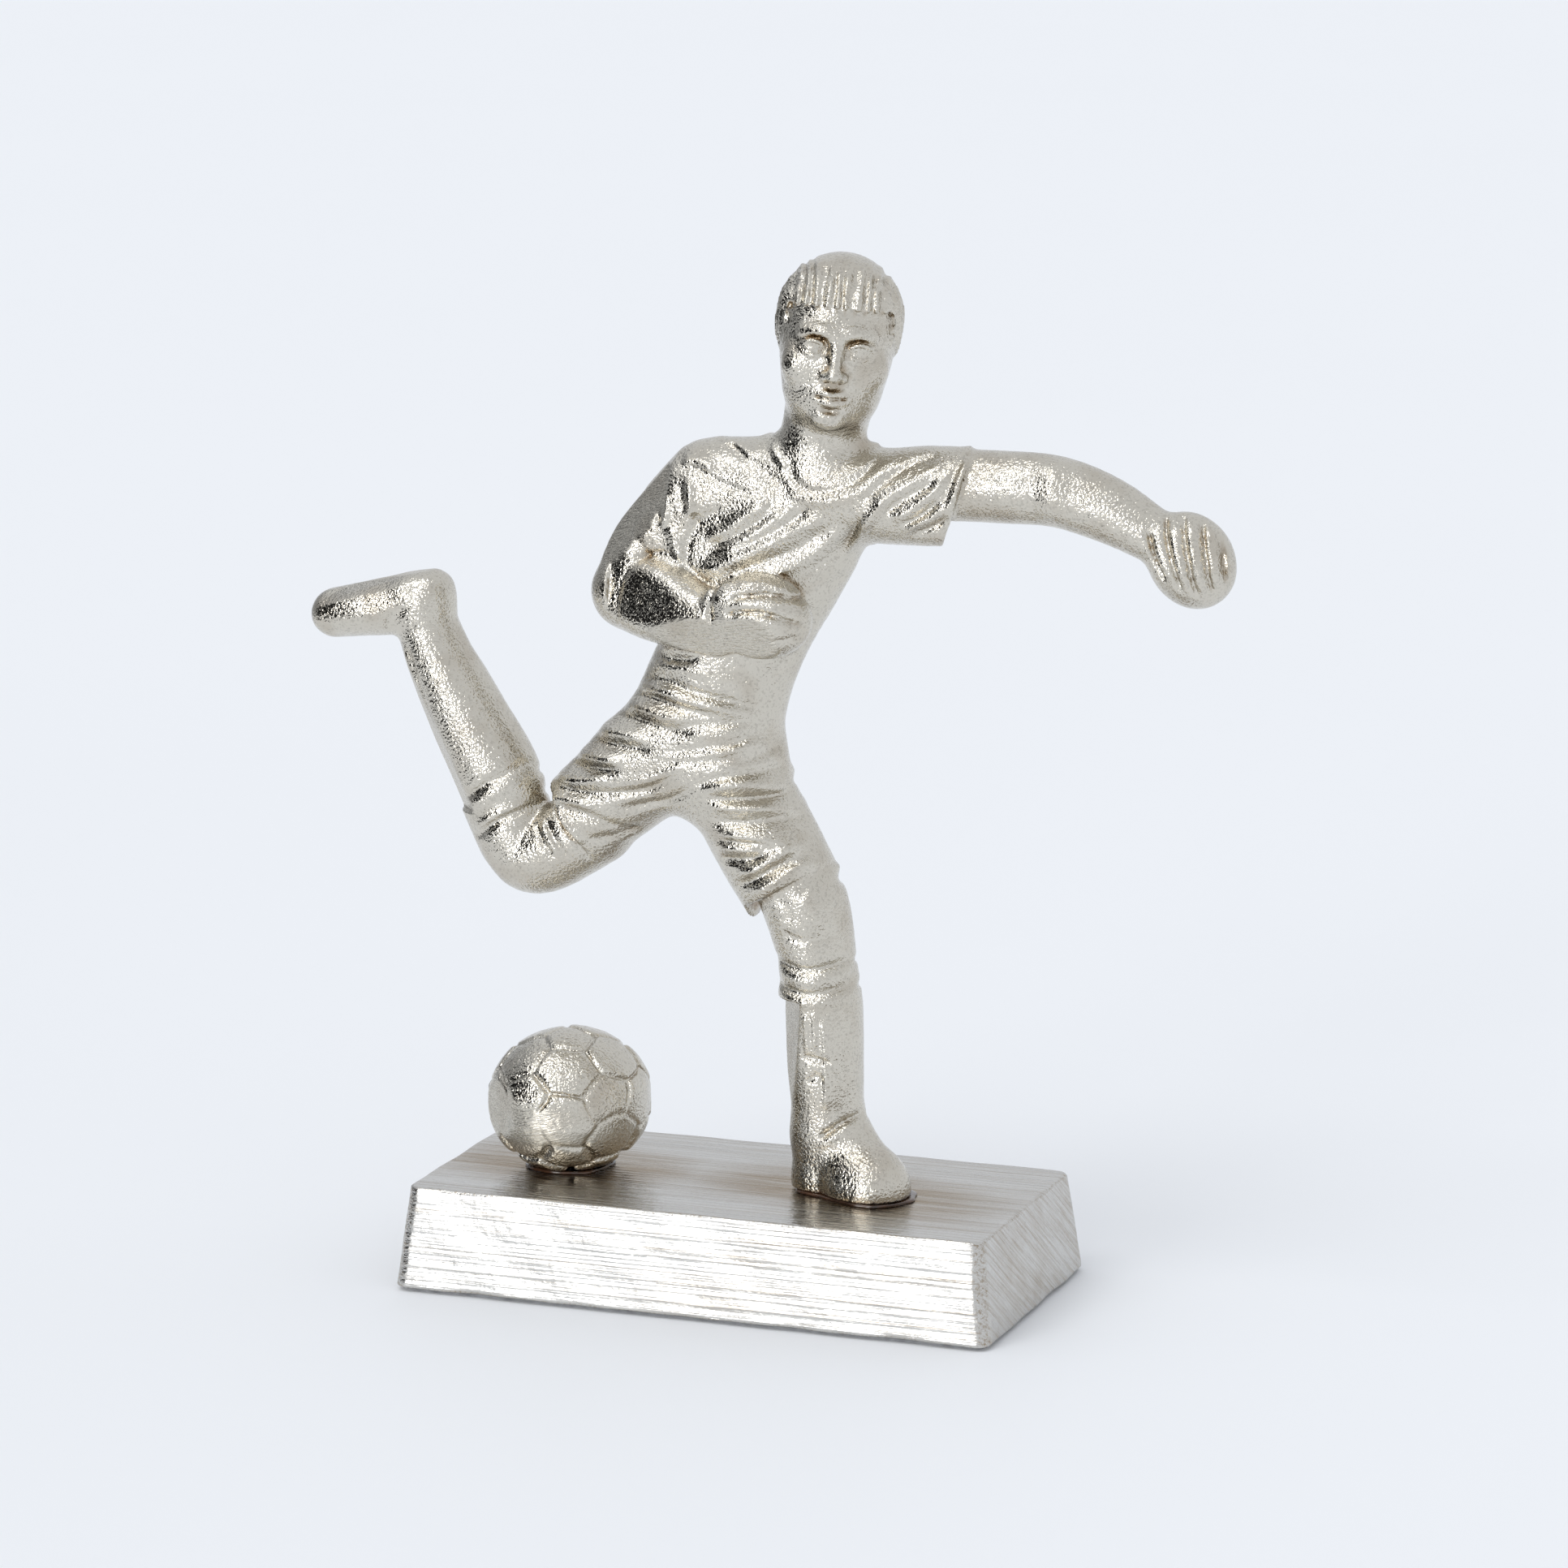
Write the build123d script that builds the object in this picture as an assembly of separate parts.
from build123d import *

import os

# A cast figure trophy: a footballer and a ball, screwed to a tapered plinth from below.
# Millimetres. +X runs along the plinth towards the standing foot's toe, +Y to the back, +Z up.
# The origin is the middle of the felt's underside, on the surface that the trophy stands on.

# ---- Driving dimensions -------------------------------------------------------------------
FELT_THICKNESS = 0.8
PLINTH_LENGTH, PLINTH_WIDTH = 151.6, 73.4      # at the foot of the tapered sides
PLINTH_HEIGHT = 24.4
DECK_LENGTH, DECK_WIDTH = 146.2, 66.2          # the flat top
PLINTH_CORNER, DECK_EDGE = 4.0, 0.8            # radii of the upright and the top edges
FELT_INSET = 2.0

DECK_Z = FELT_THICKNESS + PLINTH_HEIGHT
GLUE_THICKNESS = 0.6                            # epoxy bed under the boot and the ball
GLUE_SQUEEZE = 0.9                              # how far the bead stands out past its casting
SEAT_Z = DECK_Z + GLUE_THICKNESS

# Ball: a little flatter than round, its foot and one side ground flat
BALL_CENTRE = (-43.5, -1.0)
BALL_RADIUS, BALL_HALF_HEIGHT = 20.2, 18.0
BALL_FOOT_CUT = 2.4                             # ground off the bottom
BALL_SIDE_CUT = 1.8                             # ground off the side turned to the front left
BALL_SIDE_HEADING = (-0.67, -0.74, 0)           # the way that side faces

# Boot on the deck: heel and toe are two circles in plan, joined by tangents
HEEL, HEEL_RADIUS = (22.0, 0.0), 7.3
TOE, TOE_RADIUS = (36.5, -4.5), 9.2

# M5 machine screws, from below
SCREW_RADIUS, SCREW_LENGTH = 2.5, 20.0
HEAD_RADIUS, HEAD_HEIGHT = 4.25, 3.5
HEX_RADIUS, HEX_DEPTH = 2.3, 2.2                # socket, across its corners
WASHER_RADIUS, WASHER_BORE, WASHER_THICKNESS = 5.0, 2.65, 1.0
CLEARANCE_RADIUS = 2.75
COUNTERBORE_RADIUS, COUNTERBORE_DEPTH = 5.6, 13.0
TAP_EXTRA = 1.5                                 # tapped hole past the screw's end

SCREWS = {"heel": HEEL, "toe": TOE, "ball": BALL_CENTRE}
UPRIGHT = (Align.CENTER, Align.CENTER, Align.MIN)   # a cylinder that stands on its place


# ---- Shared forms -------------------------------------------------------------------------
def limb(stations):
    """A smooth limb through (x, y, z, half width across, half depth along Y) stations."""
    points = [Vector(x, y, z) for x, y, z, _, _ in stations]
    sections = []
    for i, (_, _, _, across, depth) in enumerate(stations):
        ahead = points[min(i + 1, len(points) - 1)]
        behind = points[max(i - 1, 0)]
        heading = ahead - behind
        level = Plane(origin=points[i], x_dir=(0, 1, 0), z_dir=(heading.X, 0, heading.Z))
        sections.append(level * Ellipse(depth, across))
    return loft(sections)


def ellipsoid(centre, across, depth, height, lean=0.0):
    """An upright ellipsoid, turned by lean degrees about Y."""
    ball = scale(Sphere(1.0), by=(across, depth, height))
    return Pos(*centre) * Rot(0, lean, 0) * ball


def boot_outline(grow, z):
    """The sole's outline at height z, grown outwards by grow."""
    heel = Pos(HEEL[0], HEEL[1], z) * Circle(HEEL_RADIUS + grow)
    toe = Pos(TOE[0], TOE[1], z) * Circle(TOE_RADIUS + grow)
    return make_hull(heel.edges() + toe.edges())


def tapped_hole(at):
    """What a screw's thread takes out of a casting that sits at SEAT_Z."""
    x, y = at
    reach = under_head_z() + SCREW_LENGTH - SEAT_Z + TAP_EXTRA
    return Pos(x, y, SEAT_Z) * Cylinder(SCREW_RADIUS, reach, align=UPRIGHT)


def under_head_z():
    """Height of a screw head's bearing face, a washer below the counterbore's floor."""
    return FELT_THICKNESS + COUNTERBORE_DEPTH - WASHER_THICKNESS


# ---- Plinth and what fastens to it -----------------------------------------------------------
def plinth():
    foot = Pos(0, 0, FELT_THICKNESS) * RectangleRounded(PLINTH_LENGTH, PLINTH_WIDTH, PLINTH_CORNER)
    deck = Pos(0, 0, DECK_Z) * RectangleRounded(DECK_LENGTH, DECK_WIDTH, PLINTH_CORNER)
    block = loft([foot, deck])
    block = fillet(block.faces().sort_by(Axis.Z)[-1].edges(), DECK_EDGE)
    for x, y in SCREWS.values():
        foot_of_hole = Pos(x, y, FELT_THICKNESS)
        block -= foot_of_hole * Cylinder(CLEARANCE_RADIUS, PLINTH_HEIGHT, align=UPRIGHT)
        block -= foot_of_hole * Cylinder(COUNTERBORE_RADIUS, COUNTERBORE_DEPTH, align=UPRIGHT)
    return block


def felt_sheet():
    outline = RectangleRounded(PLINTH_LENGTH - 2 * FELT_INSET, PLINTH_WIDTH - 2 * FELT_INSET,
                               PLINTH_CORNER - FELT_INSET)
    return extrude(outline, FELT_THICKNESS)


def screw(at):
    """A socket-head machine screw, its head down in the counterbore."""
    x, y = at
    head_z = under_head_z() - HEAD_HEIGHT
    shank = Pos(x, y, under_head_z()) * Cylinder(SCREW_RADIUS, SCREW_LENGTH, align=UPRIGHT)
    head = Pos(x, y, head_z) * Cylinder(HEAD_RADIUS, HEAD_HEIGHT, align=UPRIGHT)
    socket = Pos(x, y, head_z) * extrude(RegularPolygon(HEX_RADIUS, 6), HEX_DEPTH)
    return shank + head - socket


def washer(at):
    x, y = at
    ring = Circle(WASHER_RADIUS) - Circle(WASHER_BORE)
    return Pos(x, y, under_head_z()) * extrude(ring, WASHER_THICKNESS)


def glue_bead(outline_low, outline_high, holes):
    """An epoxy bed, wider at the deck than at the casting's edge."""
    bead = loft([outline_low, outline_high])
    for x, y in holes:
        bead -= Pos(x, y, DECK_Z) * Cylinder(CLEARANCE_RADIUS, 3 * GLUE_THICKNESS)
    return bead


def ball_foot_radius():
    """Radius of the flat ground under the ball."""
    level = 1 - BALL_FOOT_CUT / BALL_HALF_HEIGHT
    return BALL_RADIUS * (1 - level**2) ** 0.5


def boot_glue():
    return glue_bead(boot_outline(GLUE_SQUEEZE, DECK_Z), boot_outline(0, SEAT_Z), [HEEL, TOE])


def ball_glue():
    x, y = BALL_CENTRE
    low = Pos(x, y, DECK_Z) * Circle(ball_foot_radius() + GLUE_SQUEEZE)
    high = Pos(x, y, SEAT_Z) * Circle(ball_foot_radius())
    return glue_bead(low, high, [BALL_CENTRE])


def ball():
    x, y = BALL_CENTRE
    centre_z = SEAT_Z - BALL_FOOT_CUT + BALL_HALF_HEIGHT
    body = ellipsoid((x, y, centre_z), BALL_RADIUS, BALL_RADIUS, BALL_HALF_HEIGHT)
    body = split(body, Plane(origin=(x, y, SEAT_Z), z_dir=(0, 0, 1)), keep=Keep.TOP)
    outward = Vector(*BALL_SIDE_HEADING).normalized()
    middle = Vector(x, y, centre_z) + outward * (BALL_RADIUS - BALL_SIDE_CUT)
    body = split(body, Plane(origin=middle, z_dir=-outward), keep=Keep.TOP)
    return body - tapped_hole(BALL_CENTRE)


# ---- Figure: one casting ------------------------------------------------------------------
TORSO = [
    (-6, 0, 118, 14, 11.5), (-6, 0, 129, 18, 12.3), (-5, 0, 141, 18.5, 12), (-1.5, 0, 152, 18, 12),
    (3, 0, 164, 19.2, 12.8), (8.5, 0, 176, 20.8, 13.5), (12, 0, 188, 21, 13), (16, 0, 196, 17.5, 10),
    (19.5, 0, 202, 10, 8.2),
]
NECK = [(20, 0, 198, 11, 9.5), (22, 0, 207, 9, 8.5), (24.5, 0, 216, 9, 9)]
HEAD_CENTRE, HEAD_SIZE, HEAD_LEAN = (27, -1.5, 230), (15, 16, 20), 7.0

NEAR_SLEEVE = [(8, 0, 193, 11.5, 11), (-6, 0, 193, 11.3, 11), (-16.5, -1, 186.5, 9.2, 9.5), (-22, -2, 177, 8, 8.5)]
NEAR_UPPER_ARM = [(-18, -1, 186, 8, 8), (-22, -3, 176.5, 8, 8), (-24, -6, 167, 8.2, 8)]
NEAR_ELBOW, NEAR_ELBOW_SIZE = (-24, -6, 167), (8.6, 8.2, 8.6)
NEAR_WEB = [(-5, 0, 190, 10, 9), (-11, 0, 178, 11.5, 8.5), (-13, -1, 166, 11, 8)]
NEAR_FOREARM = [(-24, -6, 167, 8, 8), (-13, -13, 165.5, 7.5, 7.5), (0, -16, 164, 6.8, 7)]
NEAR_FIST, NEAR_FIST_SIZE = (13.5, -16, 166), (11.5, 8.5, 9.5)

FAR_SLEEVE = [(26, 0, 193, 11.3, 11.5), (40, 0, 193.5, 11.2, 10.8), (50, 0, 194, 11, 10), (57, 0, 196.3, 8.9, 9)]
FAR_ARM = [
    (52, 0, 196.5, 8.2, 8.2), (68, 0, 196.5, 8, 8), (82, 0, 195.8, 8.1, 8), (94, 0, 192.3, 8, 7.8),
    (104, 0, 187, 6.8, 7), (110, 0, 184, 6.5, 6.8),
]
FAR_FIST, FAR_FIST_SIZE, FAR_FIST_LEAN = (112, 0, 182), (10, 8.5, 11.5), -30.0

KICKING_THIGH = [
    (-3, 0, 129, 15.5, 11.6), (-20, 0, 127, 13.5, 12.2), (-34, 0, 116.5, 12.3, 11.4), (-43, 0, 108, 11, 10.8),
]
KICKING_KNEE = [(-40, 0, 109.5, 10, 9.5), (-49, 0, 104.5, 10, 10), (-55.5, 0, 102, 9, 9)]
KICKING_KNEE_CAP, KICKING_KNEE_SIZE = (-55.5, 0, 102.5), (9.8, 9.8, 9.8)
KICKING_SHIN = [
    (-57.5, 0, 104, 9, 9.2), (-60, 0, 113, 9.3, 9.4), (-62.7, 0, 121.6, 9.6, 9.5),
    (-67.7, 0, 131.6, 9.5, 9.3), (-75, 0, 146.2, 8.2, 8.3), (-79.4, 0, 158.2, 7.9, 7.8), (-81.5, 0, 163, 7, 8),
]
KICKING_FOOT = [
    (-74.5, 0, 162, 6.5, 6.5), (-82, 0, 161.5, 7, 7.8), (-94, 0, 159, 6, 8.5), (-103, 0, 157.3, 5.6, 8),
    (-108, 0, 156.6, 4, 5),
]

STANDING_THIGH = [
    (-1, 0, 128, 14.5, 12), (4, 0, 117, 13, 12.5), (9, 0, 106, 13, 12), (13, 0, 97, 11.8, 11.5),
]
STANDING_LEG = [
    (13, 0, 104, 9.5, 9.5), (18, 0, 93, 10.5, 10.5), (20.3, 0, 81, 9.2, 9.5), (21, 0, 70, 9.8, 9.8),
    (22, 0, 57, 9.2, 9), (23, 0, 44, 8.4, 8), (23, 0, 34, 8, 7.6),
]
LIMBS = (NECK, NEAR_SLEEVE, NEAR_WEB, NEAR_UPPER_ARM, NEAR_FOREARM, FAR_SLEEVE, FAR_ARM,
         KICKING_THIGH, KICKING_KNEE, KICKING_SHIN, KICKING_FOOT, STANDING_THIGH, STANDING_LEG)
ROUNDS = (
    (HEAD_CENTRE, HEAD_SIZE, HEAD_LEAN), (NEAR_ELBOW, NEAR_ELBOW_SIZE, 0), (NEAR_FIST, NEAR_FIST_SIZE, 0),
    (FAR_FIST, FAR_FIST_SIZE, FAR_FIST_LEAN), (KICKING_KNEE_CAP, KICKING_KNEE_SIZE, 0),
)


def boot():
    """The standing boot: its sole's outline, up to the instep and the ankle."""
    sole = loft([boot_outline(0, SEAT_Z), boot_outline(0.6, SEAT_Z + 5)])
    upper = loft([boot_outline(0.6, SEAT_Z + 5), boot_outline(-3.5, SEAT_Z + 11)])
    instep = limb([(24, -0.5, 40, 7.5, 7), (30, -2.5, 34, 7, 7.5), (36, -4.5, 30, 5, 7.5)])
    return sole + upper + instep


def figure():
    body = limb(TORSO)
    for stations in LIMBS:
        body += limb(stations)
    for centre, size, lean in ROUNDS:
        body += ellipsoid(centre, *size, lean=lean)
    body += boot()
    for at in (HEEL, TOE):
        body -= tapped_hole(at)
    return body


# ---- Write one STEP per piece -----------------------------------------------------------------
pieces = {
    "plinth": plinth(),
    "felt_sheet": felt_sheet(),
    "figure": figure(),
    "ball": ball(),
    "boot_glue": boot_glue(),
    "ball_glue": ball_glue(),
}
for place, at in SCREWS.items():
    pieces[f"{place}_screw"] = screw(at)
    pieces[f"{place}_washer"] = washer(at)

os.makedirs("parts", exist_ok=True)
for name, piece in pieces.items():
    export_step(piece, f"parts/{name}.step")
